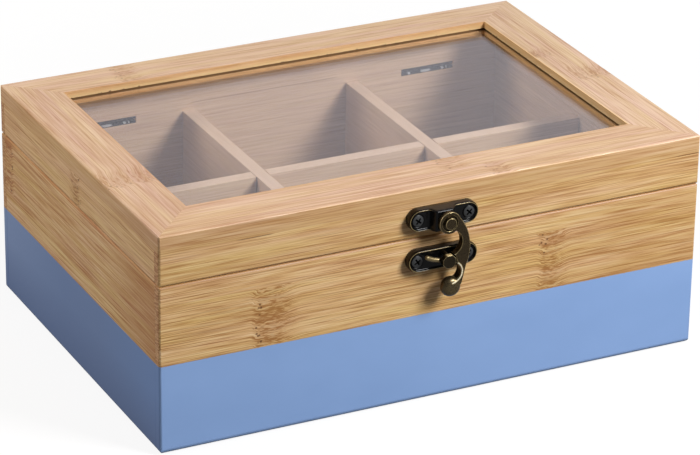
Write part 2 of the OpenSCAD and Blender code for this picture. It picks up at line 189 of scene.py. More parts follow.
def rgb(red, green, blue):
    # a colour as it reads on screen, 0 to 255, turned linear
    def linear(value):
        value /= 255
        return value / 12.92 if value <= 0.04045 else ((value + 0.055) / 1.055) ** 2.4
    return (linear(red), linear(green), linear(blue), 1.0)


# Wood is drawn on points in millimetres, with x along the fibres, y across the glued strips and z into the
# board, and a noise's scale is how many of its waves fit in a millimetre
markForm = {
    "wander": 5.0, "wanderScale": 0.35,        # how far the line across the board strays from straight
    "rise": (-3.0, 1.0), "hold": 0.35,         # where the figure comes up, and the share of its reach that it holds
    "edge": 2.5,
    "poreCells": (0.42, 0.5, 0.5), "poreSize": (0.17, 0.27), "poreReach": (1.6, 2.4),
}


def buildNodeMark(form):
    # the mark that a joint of the bamboo's stem leaves across a strip
    tree, given, result = newGroup("culmNodeMark", {"Point": (0, 0, 0), "At": 0.0, "From": 0.0, "To": 10.0,
        "Reach": 16.0, "Seed": 0.0}, [("Figure", "Float"), ("Dots", "Float")])
    axes = separate(given["Point"])
    shift = combine(given["Seed"], given["Seed"])
    wander = noiseAt(given["Point"], (0.0, form["wanderScale"], form["wanderScale"]), shift)
    along = swing(wander, form["wander"], minus(axes[0], given["At"]))
    rise = ramp(along, *form["rise"], kind="SMOOTHSTEP")
    fall = ramp(along, times(given["Reach"], form["hold"]), given["Reach"], 1.0, 0.0, kind="SMOOTHSTEP")
    band = times(clamped(minus(axes[1], given["From"]), form["edge"]),
        clamped(minus(given["To"], axes[1]), form["edge"]))
    feed(result["Figure"], times(rise, fall, band))
    # a few dark pores close to the line
    cells = vectorCalc("ADD", vectorCalc("MULTIPLY", given["Point"], form["poreCells"]), shift)
    pores = addNode(tree, "ShaderNodeTexVoronoi", {"Vector": cells, "Scale": 1.0}).outputs["Distance"]
    near = ramp(away(along), *form["poreReach"], 1.0, 0.0)
    feed(result["Dots"], times(ramp(pores, *form["poreSize"], 1.0, 0.0), near, band))
    return tree


grainForm = {
    # each noise: scale along and across the fibres, detail, roughness
    "noises": {"wave": (0.007, 0.02, 0.0, 0.5), "crinkle": (0.2, 0.45, 2.0, 0.5), "flecks": (0.3, 1.5, 2.0, 0.5),
               "fine": (0.05, 2.9, 2.0, 0.6), "lines": (0.02, 1.15, 2.0, 0.6), "broad": (0.012, 0.13, 2.0, 0.5),
               "hue": (0.016, 0.22, 2.0, 0.6), "deep": (0.024, 1.6, 1.0, 0.5), "pale": (0.02, 0.7, 1.0, 0.5)},
    "stripShift": (37.0, 11.0), "otherShift": (7.0, 31.0, 5.0),
    "waveBend": 1.8, "waveContrast": 1.2, "crinkleBend": 2.2, "figureBend": 1.5,   # how far fibres leave their line
    "fineTone": 1.9, "linesTone": 1.0, "broadTone": 0.55, "stripTone": 0.12, "flecksTone": 2.4, "figureTone": -0.17,
    "darkTone": (0.1, 0.5), "lightTone": (0.5, 0.9),
    # where a noise counts from and to, and how much it adds there
    "sheen": (0.56, 0.7, 0.0, 0.5), "streaks": (0.6, 0.74, 0.0, 0.7), "ragged": (0.52, 0.66, 0.0, 0.36),
    "straw": (0.99, 1.015, 0.82, 1.0), "rosy": (1.02, 0.98, 1.16, 1.0), "hueFrom": (0.32, 0.68),
    "dots": 0.8, "dotColour": rgb(84, 50, 24), "raggedColour": rgb(146, 94, 48), "glue": (0.05, 0.3, 0.3, 0.0),
    "endScales": (0.3, 1.7, 0.4), "endFrom": (0.4, 0.6), "endDark": rgb(164, 114, 72), "endLight": rgb(208, 166, 120),
    "streakDepth": 0.6, "dotDepth": 0.3, "roughness": (0.3, 0.7, 0.5, 0.36),
}


def buildBambooGrain(form):
    tree, given, result = newGroup("bambooGrain", {"Point": (0, 0, 0), "Light": rgb(232, 205, 160),
        "Middle": rgb(216, 180, 128), "Dark": rgb(180, 132, 82), "Strip Width": 25.0, "Strip Start": 0.0,
        "Figure": 0.0, "Dots": 0.0, "End Grain": 0.0, "Contrast": 1.0, "Patches": 1.0, "Seed": 0.0},
        [("Color", "Color"), ("Height", "Float"), ("Roughness", "Float")])
    straight, figure, contrast = given["Point"], given["Figure"], given["Contrast"]
    strip = calc("DIVIDE", minus(separate(straight)[1], given["Strip Start"]), given["Strip Width"])
    number = calc("FLOOR", strip)
    chance = addNode(tree, "ShaderNodeTexWhiteNoise", {"W": calc("ADD", number, given["Seed"])},
        noise_dimensions="1D").outputs[0]
    stripShift = [times(chance, reach) for reach in form["stripShift"]]
    shift = combine(stripShift[0], given["Seed"], stripShift[1])
    otherShift = vectorCalc("ADD", shift, form["otherShift"])

    def noise(name, point, moved=shift):
        along, across, detail, rough = form["noises"][name]
        return noiseAt(point, (along, across, across), moved, detail, rough)

    # the fibres run in slow waves, and at a culm node they crinkle and dip
    bend = times(minus(noise("wave", straight), 0.5), form["waveBend"], clamped(contrast, form["waveContrast"]))
    crinkle = times(minus(noise("crinkle", straight), 0.5), figure)
    bend = calc("MULTIPLY_ADD", crinkle, form["crinkleBend"], bend)
    bend = calc("MULTIPLY_ADD", figure, form["figureBend"], bend)
    bent = vectorCalc("ADD", straight, combine(y=bend))
    fine, flecks = noise("fine", bent), noise("flecks", straight)
    tone = swing(fine, form["fineTone"], 0.5)
    tone = swing(noise("lines", bent), form["linesTone"], tone)
    tone = swing(noise("broad", bent), form["broadTone"], tone)
    tone = swing(chance, form["stripTone"], tone)
    flecked = times(minus(flecks, 0.5), figure)
    tone = calc("MULTIPLY_ADD", flecked, form["flecksTone"], tone)
    tone = calc("MULTIPLY_ADD", figure, form["figureTone"], tone)
    tone = swing(tone, contrast, 0.5)
    colour = mixColour(ramp(tone, *form["darkTone"]), given["Dark"], given["Middle"])
    colour = mixColour(ramp(tone, *form["lightTone"]), colour, given["Light"])
    sheen = clamped(ramp(noise("pale", bent, otherShift), *form["sheen"]), contrast)
    colour = mixColour(sheen, colour, given["Light"])
    streaks = clamped(ramp(noise("deep", bent, otherShift), *form["streaks"]), contrast)
    colour = mixColour(streaks, colour, given["Dark"])
    # straw-coloured and rosy patches
    tint = mixColour(ramp(noise("hue", bent, otherShift), *form["hueFrom"]), form["straw"], form["rosy"])
    colour = mixColour(given["Patches"], colour, tint, blend="MULTIPLY")
    colour = mixColour(times(given["Dots"], form["dots"]), colour, form["dotColour"])
    ragged = times(ramp(flecks, *form["ragged"]), figure)
    colour = mixColour(ragged, colour, form["raggedColour"])
    # the glue line between two strips
    toGlue = times(minus(0.5, away(minus(strip, number), 0.5)), given["Strip Width"])
    colour = mixColour(ramp(toGlue, *form["glue"]), colour, given["Dark"])
    # cut ends show the layers of fibres
    layers = noiseAt(straight, form["endScales"], shift, detail=2.0)
    endColour = mixColour(ramp(layers, *form["endFrom"]), form["endDark"], form["endLight"])
    feed(result["Color"], mixColour(given["End Grain"], colour, endColour))
    height = minus(fine, times(streaks, form["streakDepth"]))
    height = minus(height, times(given["Dots"], form["dotDepth"]))
    feed(result["Height"], height)
    feed(result["Roughness"], ramp(fine, *form["roughness"]))
    return tree


markGroup = buildNodeMark(markForm)
grainGroup = buildBambooGrain(grainForm)
fibreOrders = {"x": "xzy", "y": "yzx", "xTop": "xyz", "yTop": "yxz"}   # along, across, deep
boardForm = {
    "markSeed": 3.7, "cutEnd": (0.75, 0.9), "upright": (0.8, 0.5), "inward": (0.4, 0.1),
    # an arris begins and ends where its face has turned this far
    "arrisFrom": (0.1, 0.35), "arrisTo": (0.99, 0.9), "arrisShadeColour": rgb(124, 82, 44), "crown": (0.7, 0.9, 0.0, 0.5),
    "jointEnd": 0.4, "jointEdge": 6.0, "joint": 0.8, "jointColour": rgb(96, 62, 34),
    "relief": 0.35, "reliefDepth": 0.08,
}


def lineWindow(colour, look, point, axes):
    # painted light and shade: warm light on the wood round the window, a highlight above the ragged gap over the
    # pane, a shadow in that gap, and shade in the pane's own groove
    slit = look["slit"]
    inWindow = 1.0
    for axis in (0, 1):
        for limit, way in ((slit["from"][axis], "GREATER_THAN"), (slit["to"][axis], "LESS_THAN")):
            inWindow = times(inWindow, calc(way, axes[axis], limit))
    above = minus(axes[2], slit["at"])
    # painted light: the faces round the window are tinted warm
    colour = mixColour(times(inWindow, slit["warmth"]), colour, look.get("warmFace", slit["face"]))
    # painted highlight: a pale band on the wood just above the slit
    lit = times(ramp(above, *slit["litFrom"]), calc("GREATER_THAN", above, 0.0), inWindow)
    colour = mixColour(lit, colour, slit["lit"])
    chips = noiseAt(point, slit["chipScales"], detail=3.0, rough=0.7)
    top = calc("MULTIPLY_ADD", ramp(chips, *slit["chipFrom"]), slit["chips"], slit["width"])
    # painted shadow: the ragged slit over the pane is darkened
    gap = times(calc("LESS_THAN", above, top), calc("GREATER_THAN", above, slit["foot"]), inWindow)
    colour = mixColour(gap, colour, slit["gap"])
    # painted shade: the pane's groove, seen through the glass, is darkened
    middle, half = slit["groove"]
    shadedGroove = times(calc("LESS_THAN", away(above, middle), half), minus(1.0, inWindow))
    for axis, limit in enumerate(slit["grooveTo"]):
        shadedGroove = times(shadedGroove, calc("LESS_THAN", away(axes[axis]), limit))
    return mixColour(shadedGroove, colour, slit["grooveShade"])


def bambooMaterial(name, look):
    material, tree, shader = newMaterial(name)[:3]
    place, axes, facing = objectPlace(tree)
    order = ["xyz".index(letter) for letter in fibreOrders[look["fibres"]]]
    along = axes[order[0]]
    point = combine(*[axes[axis] for axis in order])
    figure = dots = 0.0
    for number, (at, low, high, reach) in enumerate(look.get("marks", [])):
        mark = useGroup(tree, markGroup, {"Point": point, "At": at, "From": low, "To": high, "Reach": reach,
            "Seed": look["seed"] + boardForm["markSeed"] * number})
        figure = maximum(figure, mark["Figure"]) if number else mark["Figure"]
        dots = maximum(dots, mark["Dots"]) if number else mark["Dots"]
    if "marks" in look:
        dots = times(dots, look.get("dots", 1.0))
    tones = {label: look[label.lower()] for label in ("Light", "Middle", "Dark", "Contrast", "Patches")}
    if "sides" in look:
        upright = ramp(away(facing[2]), *boardForm["upright"])
        for label in ("Light", "Middle", "Dark"):
            tones[label] = mixColour(upright, tones[label], look["sides"][label.lower()])
    if "outer" in look:
        # the side that faces into the box is paler and plainer
        axis, side, innerFace = look["outer"]
        outward = times(axes["xyz".index(axis)], side)
        within = ramp(outward, *[innerFace + past for past in boardForm["inward"]])
        for label, value in tones.items():
            plain = insideLook[label.lower()]
            tones[label] = (ramp(within, 0.0, 1.0, value, plain) if isinstance(value, float)
                else mixColour(within, value, plain))
        figure = times(figure, minus(1.0, within))
        dots = times(dots, minus(1.0, within))
    grain = useGroup(tree, grainGroup, {"Point": point, "Strip Width": look["strips"][0],
        "Strip Start": look["strips"][1], "Figure": figure, "Dots": dots, "Seed": look["seed"],
        "End Grain": ramp(away(facing[order[0]]), *boardForm["cutEnd"]), **tones})
    colour, height, rough = grain["Color"], grain["Height"], grain["Roughness"]
    # painted shade: the wood is darkened towards one end, where less light falls on it
    if "darkerEnd" in look:
        start, end, share = look["darkerEnd"]
        colour = mixColour(ramp(along, start, end, 0.0, share), colour, look["dark"])

    def arris(turned, share):
        return times(ramp(turned, *boardForm["arrisFrom"]), ramp(turned, *boardForm["arrisTo"], 0.0, share))

    # painted shade: an arris that looks down is darkened to the shade it lies in
    colour = mixColour(arris(times(facing[2], -1.0), look["arris"]), colour, boardForm["arrisShadeColour"])
    # painted shade: an arris that looks up is darkened as well, which keeps the lit edge below the lid's seam dim
    if "lip" in look:
        colour = mixColour(arris(facing[2], look["lip"]), colour, look["dark"])
    # painted light: faces that look up are made paler, as lit from above
    if "crown" in look:
        colour = mixColour(ramp(facing[2], *boardForm["crown"]), colour, look["crown"])
    for start, end, at, width in look.get("openJoints", []):
        lengthways = minus((end - start) / 2, away(along, (start + end) / 2))
        across = minus(width, away(axes[2], at))
        line = times(clamped(lengthways, boardForm["jointEnd"]), clamped(across, boardForm["jointEdge"]))
        colour = mixColour(times(line, boardForm["joint"]), colour, boardForm["jointColour"])
    if "slit" in look:
        colour = lineWindow(colour, look, place, axes)
    if "paint" in look:
        # paint covers the outside up to a slightly ragged line and fills the grain
        paint = look["paint"]
        ragged = swing(noiseAt(place, paint["raggedScales"]), paint["ragged"], axes[2])
        mask = times(clamped(minus(paint["top"], ragged), paint["edge"]),
            calc("GREATER_THAN", outward, innerFace + paint["outside"]))
        cloud = noiseAt(place, paint["cloudScales"], detail=3.0)
        painted = mixColour(ramp(cloud, *paint["cloudFrom"]), paint["colour"], paint["shade"])
        # painted shade: faces turned to the left take these shaded copies of the paint
        shadedLeftPaint = mixColour(ramp(axes[1], *paint["frontFrom"]), paint["left"], paint["leftFront"])
        shadedLeftPaint = mixColour(ramp(axes[1], *paint["backFrom"]), shadedLeftPaint, paint["leftBack"])
        shadedLeftPaint = mixColour(ramp(axes[2], *paint["footShadeFrom"]), paint["leftFoot"], shadedLeftPaint)
        facesShadedLeft = ramp(times(facing[0], -1.0), *paint["leftFrom"])
        colour = mixColour(mask, colour, mixColour(facesShadedLeft, painted, shadedLeftPaint))
        height = times(height, calc("MULTIPLY_ADD", mask, -paint["fills"], 1.0))
        rough = calc("ADD", times(mask, paint["roughness"]), times(rough, minus(1.0, mask)))
    finishShader(shader, {"Base Color": colour, "Roughness": rough}, height, boardForm["relief"],
        boardForm["reliefDepth"])
    return material


def addObject(name, data):
    added = bpy.data.objects.new(name, data)
    scene.collection.objects.link(added)
    return added


def weldedCopy(node):
    # the node's mesh in its own place, with its loose triangles joined
    mesh = bmesh.new()
    mesh.from_mesh(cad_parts[node].data)
    bmesh.ops.remove_doubles(mesh, verts=mesh.verts, dist=0.002 * mm)
    bmesh.ops.dissolve_degenerate(mesh, edges=mesh.edges, dist=0.0005 * mm)
    return mesh


def placePiece(piece, body, node):
    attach(piece, body)
    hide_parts(node)


def pieceFrom(mesh, name, material, body, node):
    data = bpy.data.meshes.new(name)
    mesh.to_mesh(data)
    mesh.free()
    piece = addObject(name, data)
    data.materials.append(material)
    placePiece(piece, body, node)
    return piece


def plainMesh(piece, name):
    # what the modifiers make of the piece becomes its mesh
    bpy.context.view_layer.update()
    data = bpy.data.meshes.new_from_object(piece.evaluated_get(bpy.context.evaluated_depsgraph_get()))
    piece.modifiers.clear()
    piece.data = data
    data.name = name
    return data


# Angles in degrees: what counts as one flat face, as an edge to ease, and as a smooth edge afterwards
easedForm = {"flat": 0.3, "sharp": 30, "smooth": 40, "segments": 2}


def easedBoard(node, name, material, body, easing=0.25):
    # a machined board with its arrises just broken
    mesh = weldedCopy(node)
    bmesh.ops.dissolve_limit(mesh, angle_limit=math.radians(easedForm["flat"]), verts=mesh.verts, edges=mesh.edges)
    edges = [edge for edge in mesh.edges
        if len(edge.link_faces) == 2 and edge.calc_face_angle(0) > math.radians(easedForm["sharp"])]
    bmesh.ops.bevel(mesh, geom=edges, offset=easing * mm, offset_type="OFFSET", segments=easedForm["segments"],
        profile=0.5, affect="EDGES", clamp_overlap=True)
    for face in mesh.faces:
        face.smooth = True
    for edge in mesh.edges:
        edge.smooth = len(edge.link_faces) == 2 and edge.calc_face_angle(0) < math.radians(easedForm["smooth"])
    weighted = pieceFrom(mesh, name, material, body, node).modifiers.new("flatFaces", "WEIGHTED_NORMAL")
    weighted.keep_sharp = True
    weighted.weight = 100


# the arris and lip shares are painted shade on the arrises that look down and up
frontLook = {"light": rgb(231, 202, 152), "middle": rgb(207, 166, 112), "dark": rgb(162, 112, 60), "patches": 0.7,
        "arris": 0.9, "lip": 0.35}
# painted sheen: the frame's tops are paler and pinker than its upright sides, which take these tones
sideLook = {"light": rgb(231, 202, 158), "middle": rgb(213, 174, 126), "dark": rgb(172, 124, 74)}
topLook = {
    "light": rgb(227, 198, 165), "middle": rgb(211, 174, 138), "dark": rgb(178, 132, 94), "patches": 0.6,
    "arris": 0.4, "sides": sideLook, "dots": 0.5,
    "slit": {"at": 86.6, "width": 0.1, "foot": -0.1, "chips": 0.9, "chipScales": (0.35, 0.35, 0.0),
        "chipFrom": (0.48, 0.7), "from": (-95, -58.9), "to": (95, 62.1), "gap": rgb(112, 82, 50),
        "warmth": 0.4, "face": rgb(208, 154, 98), "lit": rgb(228, 199, 146), "litFrom": (0.6, 2.6, 0.75, 0.0),
        "groove": (-0.95, 1.25), "grooveTo": (113.0, 78.0), "grooveShade": rgb(146, 112, 76)}}
insideLook = {"light": rgb(209, 185, 156), "middle": rgb(190, 162, 134), "dark": rgb(164, 134, 108), "patches": 0.3,
        "contrast": 0.55}
# the dividers' upward faces take a paler colour as painted light
dividerLook = {"light": rgb(209, 185, 155), "middle": rgb(197, 169, 140), "dark": rgb(177, 145, 114), "patches": 0.3,
        "arris": 0.1, "crown": rgb(222, 196, 170)}
paintLook = {
    "top": 37.0, "edge": 6.0, "ragged": 0.3, "raggedScales": (0.8, 0.8, 0.0), "outside": 5.0,
    "colour": rgb(135, 167, 217), "shade": rgb(140, 172, 222), "cloudScales": (0.03, 0.03, 0.05),
    "cloudFrom": (0.3, 0.7), "roughness": 0.45, "fills": 0.8,
    # painted shade: the left side gets its own shaded copies of the paint, which change from front to back and are
    # darker at its foot
    "left": rgb(114, 140, 186), "leftFrom": (0.6, 0.95), "leftFront": rgb(114, 145, 197), "frontFrom": (-20.0, -70.0),
    "leftBack": rgb(129, 154, 198), "backFrom": (15.0, 75.0), "leftFoot": rgb(102, 126, 172), "footShadeFrom": (2.0, 24.0)}


def bambooPieces(looks, common, nameFor, finish, body, easing=0.25):
    for node, look in looks.items():
        name = nameFor(node.split("_"))
        easedBoard(node, name, bambooMaterial(name + finish, dict(common, **look)), body, easing)


def camelName(words):
    return words[0] + "".join(word.capitalize() for word in words[1:])


# In millimetres: strips have a width and a start, a mark is its place along the fibres, its span across them
# and its reach, a painted shade towards one end is its start, end and share, an open joint is its start, end, height
# and width
baseBoards = {
    "base_front_board": dict(fibres="x", strips=(24.6, 36.9), contrast=1.0, seed=4.0,
        marks=[(-75, 36.9, 61.5, 19), (46, 36.9, 61.5, 13)], middle=rgb(214, 172, 117),
        lip=0.85, darkerEnd=(40.0, 75.0, 0.22), outer=("y", -1, 70.0)),
    "base_back_board": dict(fibres="x", strips=(24.6, 36.9), contrast=1.0, seed=9.0,
        marks=[(-30, 36.9, 61.5, 16), (88, 36.9, 61.5, 14), (30, 61.5, 86, 12),
        (10, 12.3, 36.9, 14)], outer=("y", 1, 70.0)),
    "base_left_board": dict(fibres="y", strips=(26.0, 44.0), contrast=0.95, seed=14.0,
        marks=[(69, 46.0, 68.0, 12)], dark=rgb(168, 108, 58),
        darkerEnd=(-30.0, -75.0, 0.5), outer=("x", -1, 105.0)),
    "base_right_board": dict(fibres="y", strips=(24.6, 41.0), contrast=0.9, seed=19.0,
        marks=[(20, 41.0, 65.6, 16), (-60, 16.4, 41.0, 12)], outer=("x", 1, 105.0)),
}
bambooPieces(baseBoards, dict(frontLook, paint=paintLook), lambda words: words[1] + "Board", "PaintedBamboo",
    "base")
print("base boards done")

innerBoards = {
    "floor_panel": dict(fibres="xTop", strips=(22.0, -3.0), contrast=0.3, seed=24.0,
        marks=[(-60, -3, 19, 14), (50, 19, 41, 14), (10, -47, -25, 12)]),
    "long_divider": dict(fibres="x", strips=(30.0, 10.0), contrast=0.9, seed=29.0),
    "cross_divider_left": dict(fibres="y", strips=(30.0, 12.0), contrast=0.6, seed=34.0,
        marks=[(-34, 12, 42, 12)]),
    "cross_divider_right": dict(fibres="y", strips=(30.0, 8.0), contrast=0.6, seed=39.0,
        marks=[(33, 8, 38, 12)]),
}
bambooPieces(innerBoards, dividerLook, camelName, "Bamboo", "base")
print("floor and dividers done")

lidBoards = {
    "lid_front_rail": dict(fibres="x", contrast=0.8, seed=67.0, arris=0.3, outer=("y", -1, 70.0),
        openJoints=[(-84, -68, 82.9, 0.3), (103, 118, 82.9, 0.25)]),
    "lid_back_rail": dict(fibres="x", contrast=0.9, seed=49.0, marks=[(-50, 69.5, 83, 12)],
        openJoints=[(-37, 31, 71.2, 0.2)], outer=("y", 1, 70.0)),
    "lid_left_rail": dict(fibres="y", contrast=0.8, seed=54.0, marks=[(-2, 69.5, 83, 10)],
        outer=("x", -1, 105.0), middle=rgb(214, 175, 126)),
    "lid_right_rail": dict(fibres="y", contrast=0.9, seed=59.0, marks=[(40, 69.5, 83, 12)],
        outer=("x", 1, 105.0)),
}
bambooPieces(lidBoards, dict(frontLook, strips=(13.5, 69.5)), camelName, "Bamboo", "lid")

frameMembers = {
    "frame_front": dict(fibres="xTop", strips=(11.4, -80.0), seed=64.0, middle=rgb(208, 170, 134),
        marks=[(10, -68.6, -58.4, 13), (26, -80, -68.6, 9)]),
    # painted sheen: the back member, like the right one, is made paler, as the sheen on the tops grows towards the
    # back and right
    "frame_back": dict(fibres="xTop", strips=(9.5, 61.5), seed=69.0, middle=rgb(217, 183, 149),
        marks=[(-68, 62, 80, 12)]),
    "frame_left": dict(fibres="yTop", strips=(11.5, -115.0), seed=74.0, middle=rgb(207, 171, 138),
        marks=[(-31, -115, -94, 16)], darkerEnd=(-38.0, -62.0, 0.22)),
    # painted light: the right member's face in the window is made brighter and warmer, as lit
    "frame_right": dict(fibres="yTop", strips=(11.5, 94.5), seed=79.0, middle=rgb(215, 181, 148),
        marks=[(18, 94.5, 103, 9), (-10, 100, 115, 16)], warmFace=rgb(255, 214, 146)),
}
bambooPieces(frameMembers, dict(topLook, contrast=0.8), lambda words: words[1] + "FrameMember", "Bamboo", "lid",
    easing=0.2)
print("lid boards done")

paneLook = {"tint": rgb(252, 248, 250), "ior": 1.45, "easing": 0.15, "letsThrough": (0.95, 0.955, 0.95, 1.0)}


def glassMaterial():
    # the lamps' light goes straight through, and the camera sees real glass
    material, tree, shader, output = newMaterial("clearPane")
    for label, value in (("Base Color", paneLook["tint"]), ("Roughness", 0.0), ("IOR", paneLook["ior"]),
            ("Transmission Weight", 1.0)):
        shader.inputs[label].default_value = value
    path = lightPath(tree)
    lampRays = maximum(path["Is Shadow Ray"], path["Is Diffuse Ray"])
    clear = addNode(tree, "ShaderNodeBsdfTransparent", {"Color": paneLook["letsThrough"]})
    blend = addNode(tree, "ShaderNodeMixShader", {0: lampRays, 1: shader.outputs[0], 2: clear.outputs[0]})
    tree.links.new(blend.outputs[0], output.inputs["Surface"])
    return material


easedBoard("window_pane", "windowPane", glassMaterial(), "lid", easing=paneLook["easing"])
print("window pane done")

castForm = {"smoothing": 0.5, "wearRounds": 4, "wearReach": 0.05}


def markConvexEdges(data):
    # stores how strongly each point stands out of its surroundings, for worn edges
    count = len(data.vertices)
    points = np.empty(count * 3, np.float32)
    data.vertices.foreach_get("co", points)
    points = points.reshape(-1, 3).astype(float)
    normals = np.array([vertex.normal for vertex in data.vertices], float)
    pairs = np.empty(len(data.edges) * 2, np.int32)
    data.edges.foreach_get("vertices", pairs)
    first, second = pairs.reshape(-1, 2).T
    degree = np.bincount(first, minlength=count) + np.bincount(second, minlength=count)

    def neighbourMean(values):
        total = np.zeros_like(values)
        np.add.at(total, first, values[second])
        np.add.at(total, second, values[first])
        return total / degree.reshape(-1, *([1] * (values.ndim - 1)))

    mean = points
    for step in range(castForm["wearRounds"]):
        mean = neighbourMean(mean)
    stand = np.einsum("ij,ij->i", points - mean, normals) / (castForm["wearReach"] * mm)
    stand = (stand + neighbourMean(stand)) / 2
    layer = data.attributes.new("standsOut", "FLOAT", "POINT")
    layer.data.foreach_set("value", stand.astype(np.float32))


def castPiece(node, name, material, body, voxel, rounds):
    # remeshed in millimetres, so that the voxel size stays well above the tool's smallest one
    mesh = weldedCopy(node)
    bmesh.ops.scale(mesh, vec=(1 / mm, 1 / mm, 1 / mm), verts=mesh.verts)
    piece = pieceFrom(mesh, name, material, body, node)
    remesh = piece.modifiers.new("evenGrid", "REMESH")
    remesh.mode = "VOXEL"
    remesh.voxel_size = voxel
    smooth = piece.modifiers.new("roundedEdges", "SMOOTH")
    smooth.factor = castForm["smoothing"]
    smooth.iterations = rounds
    done = plainMesh(piece, name)
    done.transform(Matrix.Scale(mm, 4))
    done.materials.clear()
    done.materials.append(material)
    done.shade_smooth()
    markConvexEdges(done)


claspX, lidPlateZ, basePlateZ, screwSpacing = 1.0, 77.9, 60.9, 21.6
plateLook = {
    "length": 29.5, "width": 9.0, "sheet": 0.9, "bridge": None,
    "spacing": 0.16, "ringSpacing": 0.14, "undersideRings": 9,    # how fine the mesh is
    "ringRadius": 2.5, "ringDepth": 0.25, "ringSoftness": 0.22, "dishFrom": 1.1,
    "crest": 0.45, "crestSoftness": 0.17, "crestStep": 2, "skirtTo": 0.3, "bridgeWear": (3.4, 5.0, 0.5),
    # distance in from the edge, and height off the wood
    "profile": [(0, 0), (0, 0.9), (0, 1.8), (0.01, 2.4), (0.05, 2.75), (0.13, 3.0), (0.25, 3.18), (0.38, 3.28),
                (0.5, 3.3), (0.62, 3.26), (0.74, 3.12), (0.86, 2.92), (1.0, 2.74), (1.15, 2.64), (1.35, 2.6)],
    "bridgeProfile": [0, 1.6, 3.2, 4.4, 5.2, 5.65, 5.98, 6.2, 6.32, 6.38, 6.4, 6.4, 6.4, 6.4, 6.4],
}
dishFace = frontFace - plateLook["profile"][-1][1]


def pressedPlate(name, look, height, body, node):
    # sheet metal pressed into a rimmed dish, and where it is bridged up to the level of the hook's eye
    halfSpine, radius = (look["length"] - look["width"]) / 2, look["width"] / 2
    quarter = int(round(math.pi * radius / 2 / look["spacing"]))
    along = int(round(2 * halfSpine / look["spacing"]))
    outline = []
    for side in (1, -1):
        outline += [(side * halfSpine, side * math.pi / 2 * (1 - side * k / quarter)) for k in range(2 * quarter)]
        outline += [(side * halfSpine * (1 - 2 * k / along), -side * math.pi / 2) for k in range(along)]
    spine = np.array([[x, 0.0] for x, turn in outline])
    outward = np.array([[math.cos(turn), math.sin(turn)] for x, turn in outline])

    def smoothStep(value, low, high):
        share = np.clip((value - low) / (high - low), 0, 1)
        return share * share * (3 - 2 * share)

    def groove(flat, inset):
        # 1 in the shallow ring round each screw
        fromScrew = np.minimum(*[np.hypot(flat[:, 0] - side * screwSpacing / 2, flat[:, 1]) for side in (-1, 1)])
        return np.exp(-((fromScrew - look["ringRadius"]) / look["ringSoftness"]) ** 2) * (inset > look["dishFrom"])

    def heightAt(flat, inset, step):
        plain = np.interp(step, np.arange(len(look["profile"])), [rise for edge, rise in look["profile"]])
        if look["bridge"]:
            left, flatLeft, flatRight, right = look["bridge"]
            raised = np.interp(step, np.arange(len(look["bridgeProfile"])), look["bridgeProfile"])
            share = smoothStep(flat[:, 0], left, flatLeft) * (1 - smoothStep(flat[:, 0], flatRight, right))
            plain = plain * (1 - share) + raised * share
        return plain - look["ringDepth"] * groove(flat, inset)

    rings = [edge for edge, rise in look["profile"]]
    last = len(rings) - 1
    steps = list(range(len(rings)))
    while rings[-1] < radius - 0.01:
        rings.append(min(rings[-1] + look["ringSpacing"], radius))
        steps.append(last)
    wearLow, wearHigh, wearLoss = look["bridgeWear"]
    layers, shares = [], {"standsOut": [], "skirt": [], "recess": []}
    for inset in np.linspace(radius, look["sheet"], look["undersideRings"]):
        flat = spine + outward * (radius - inset)
        layers.append(np.column_stack([flat, np.maximum(heightAt(flat, 0.0, last) - look["sheet"], 0.0)]))
    layers.append(layers[-1] * [1, 1, 0])
    for values in shares.values():
        values += [np.zeros(len(spine))] * len(layers)
    for inset, step in zip(rings, steps):
        flat = spine + outward * (radius - inset)
        lifted = heightAt(flat, inset, step)
        layers.append(np.column_stack([flat, lifted]))
        crest = math.exp(-((inset - look["crest"]) / look["crestSoftness"]) ** 2) if step > look["crestStep"] else 0.0
        shares["standsOut"].append(crest * (1 - wearLoss * smoothStep(lifted, wearLow, wearHigh)))
        shares["skirt"].append(np.full(len(flat), float(inset < look["skirtTo"])))
        # painted shade: the shallow ring round each screw is marked to be painted dark
        shares["recess"].append(groove(flat, inset))
    mesh = bmesh.new()
    marks = [(mesh.verts.layers.float.new(label), np.concatenate(values)) for label, values in shares.items()]
    for number, (x, up, out) in enumerate(np.concatenate(layers)):
        vertex = mesh.verts.new(((claspX + x) * mm, (frontFace - out) * mm, (height + up) * mm))
        for layer, values in marks:
            vertex[layer] = values[number]
    mesh.verts.ensure_lookup_table()
    count = len(spine)
    for ring in range(len(layers) - 1):
        for k in range(count):
            lower, after = ring * count, (k + 1) % count
            corners = (lower + k, lower + after, lower + count + after, lower + count + k)
            mesh.faces.new([mesh.verts[corner] for corner in corners])
    bmesh.ops.remove_doubles(mesh, verts=mesh.verts, dist=0.004 * mm)
    bmesh.ops.recalc_face_normals(mesh, faces=mesh.faces)
    for face in mesh.faces:
        face.smooth = True
    pieceFrom(mesh, name, blackMetal, body, node)


metalForm = {"patchScales": (0.8, 0.8, 0.8), "tarnishScales": (2.4, 2.4, 2.4), "tarnish": (0.35, 0.65),
        "highlightEdge": (0.3, 0.1), "highlightStart": 0.2, "highlightCut": 0.5, "bright": (0.9, 1.0),
        "roughFrom": (0.3, 0.7), "polishRough": -0.05, "recessRough": 0.7, "reliefDepth": 0.05}


def buildEdgeWear():
    tree, given, result = newGroup("edgeWear", {"Point": (0, 0, 0), "Stands Out": 0.0, "Start": 0.3, "Full": 0.8,
        "Patchiness": 0.3}, [("Mask", "Float"), ("Tarnish", "Float")])
    patches = noiseAt(given["Point"], metalForm["patchScales"], detail=3.0)
    patchy = swing(patches, given["Patchiness"], given["Stands Out"])
    feed(result["Mask"], ramp(patchy, given["Start"], given["Full"], kind="SMOOTHSTEP"))
    feed(result["Tarnish"], noiseAt(given["Point"], metalForm["tarnishScales"], detail=4.0))
    return tree


wearGroup = buildEdgeWear()


